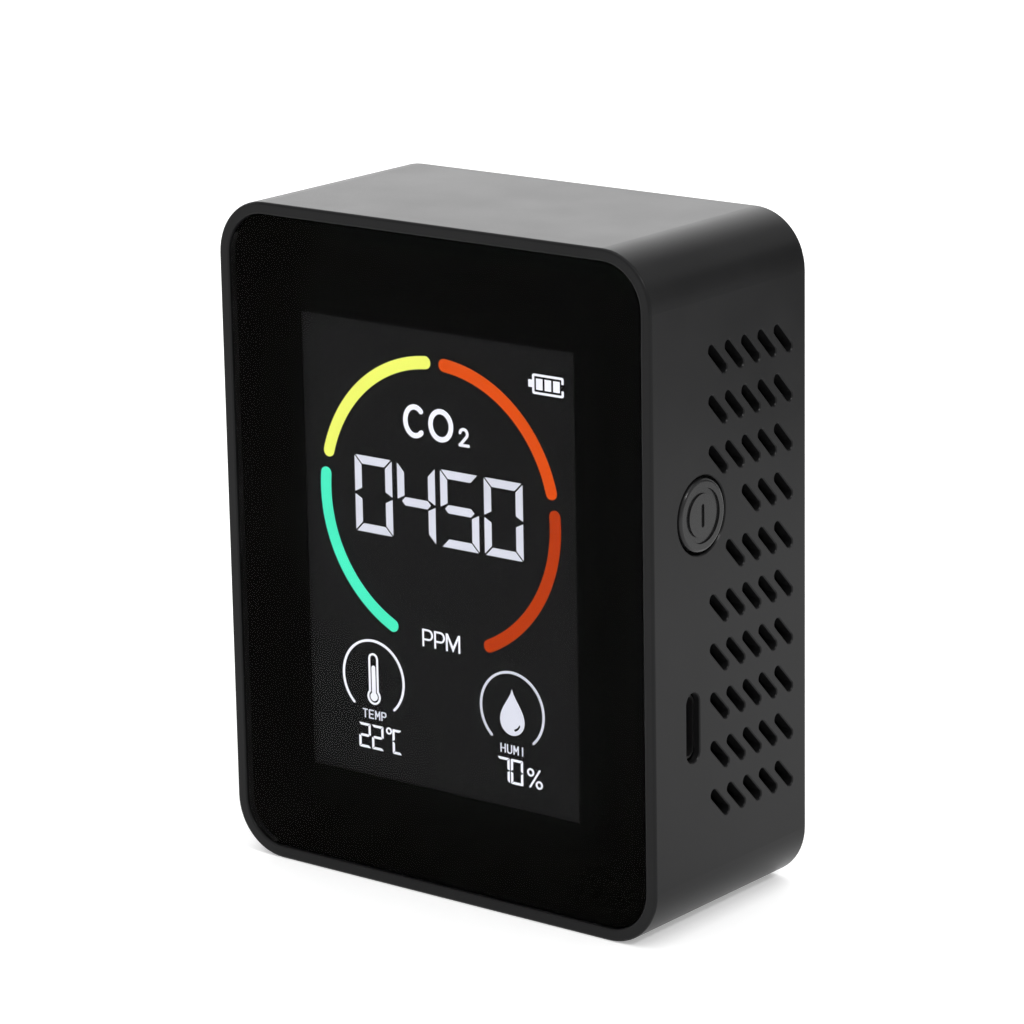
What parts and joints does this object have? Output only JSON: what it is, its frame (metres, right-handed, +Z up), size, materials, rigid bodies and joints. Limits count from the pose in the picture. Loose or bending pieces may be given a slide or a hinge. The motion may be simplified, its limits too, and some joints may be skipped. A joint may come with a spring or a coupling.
{
  "type": "carbon dioxide monitor",
  "caption": "Desk-top air quality meter: a rounded black case with a recessed display lens, side vents, a pressable power button, a charging port and its inner electronics.",
  "frame": {"origin": "centre of the flat base", "axes": "+Z up, the display faces -Y, +X is the side with the power button and the charging port"},
  "size_m": [0.0744, 0.0354, 0.095],
  "materials": {
    "case_plastic": "satin",
    "button_plastic": "satin",
    "lens_clear": "polished",
    "black_print": "gloss",
    "tape": "matte",
    "foam": "matte",
    "display_glass": "polished",
    "display_dark": "satin",
    "light_white": "satin",
    "lit_white": "lit",
    "lit_green": "lit",
    "lit_yellow": "lit",
    "lit_orange": "lit",
    "lit_red": "lit",
    "board_mask": "satin",
    "chip_resin": "matte",
    "tinned": "satin",
    "screw_steel": "satin",
    "nickel": "satin",
    "gold_plate": "polished",
    "chip_ceramic": "matte",
    "sensor_white": "satin",
    "sensor_blue": "satin",
    "membrane": "matte",
    "battery_foil": "satin",
    "lead_red": "satin",
    "lead_black": "satin",
    "connector": "satin"
  },
  "bodies": {
    "case": {"front_housing": "case_plastic", "rear_cover": "case_plastic", "rear_cover_screws": "screw_steel", "lens": "lens_clear", "lens_border_print": "black_print", "lens_tape": "tape", "display_gasket": "foam", "front_polariser": "display_dark", "lcd_front_glass": "display_glass", "lcd_rear_glass": "display_glass", "rear_polariser": "display_dark", "backlight_frame": "light_white", "backlight_guide": "light_white", "lcd_pins": "tinned", "gauge_arc_green": "lit_green", "gauge_arc_yellow": "lit_yellow", "gauge_arc_orange": "lit_orange", "gauge_arc_red": "lit_red", "reading_digits": "lit_white", "gas_symbol": "lit_white", "unit_symbol": "lit_white", "battery_symbol": "lit_white", "temperature_icon": "lit_white", "humidity_icon": "lit_white", "temperature_reading": "lit_white", "temperature_caption": "lit_white", "humidity_caption": "lit_white", "humidity_reading": "lit_white", "main_board": "board_mask", "board_screws": "tinned", "microcontroller": "chip_resin", "microcontroller_pins": "tinned", "charger_chip": "chip_resin", "power_coil": "chip_resin", "clock_crystal": "nickel", "resistors_and_capacitors": "chip_ceramic", "alarm_buzzer": "chip_resin", "gas_sensor_board": "board_mask", "gas_sensor_pins": "gold_plate", "gas_sensor_chamber": "gold_plate", "gas_sensor_filter": "membrane", "humidity_sensor": "sensor_blue", "humidity_sensor_pins": "tinned", "battery_pad": "foam", "battery_cell": "battery_foil", "battery_socket": "connector", "battery_plug": "connector", "battery_lead_red": "lead_red", "battery_lead_black": "lead_black", "usb_shell": "nickel", "usb_tongue": "chip_resin", "usb_contacts": "gold_plate", "switch_base": "chip_resin", "switch_dome": "nickel", "switch_cover": "nickel", "switch_terminals": "tinned"},
    "button": {"power_button": "button_plastic"},
    "plunger": {"switch_plunger": "chip_resin"}
  },
  "joints": [
    {"name": "button_press", "type": "slide", "parent": "case", "child": "button", "axis": [-1, 0, 0], "range_m": [0, 0.0003], "stiffness_N_per_m": 1500, "springref_m": -0.0006},
    {"name": "switch_press", "type": "slide", "parent": "case", "child": "plunger", "axis": [-1, 0, 0], "range_m": [0, 0.0003]}
  ],
  "couplings": [
    {"joint": "switch_press", "follows": "button_press", "ratio": 1}
  ]
}
